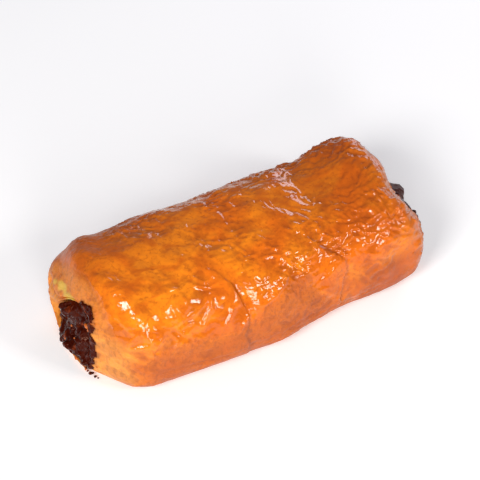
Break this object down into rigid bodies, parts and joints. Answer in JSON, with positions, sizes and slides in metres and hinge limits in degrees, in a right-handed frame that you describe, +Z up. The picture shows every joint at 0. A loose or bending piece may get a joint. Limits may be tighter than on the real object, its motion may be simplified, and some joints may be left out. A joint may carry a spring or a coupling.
{
  "type": "chocolate cream filled pastry roll",
  "caption": "Glazed golden-brown pastry roll, open at both ends, with dark chocolate cream showing in its mouths; it lies on its flat foot.",
  "frame": {"origin": "middle of the roll's foot, on the surface it lies on", "axes": "+X along the roll towards its swollen right end, +Y from its front to its back, +Z up"},
  "size_m": [0.1534, 0.0688, 0.0453],
  "materials": {
    "crust": "clear glaze over browned dough",
    "chocolate_cream": "dark, moist and lumpy"
  },
  "bodies": {
    "root": {"pastry_dough": "crust", "chocolate_filling": "chocolate_cream"}
  },
  "joints": []
}
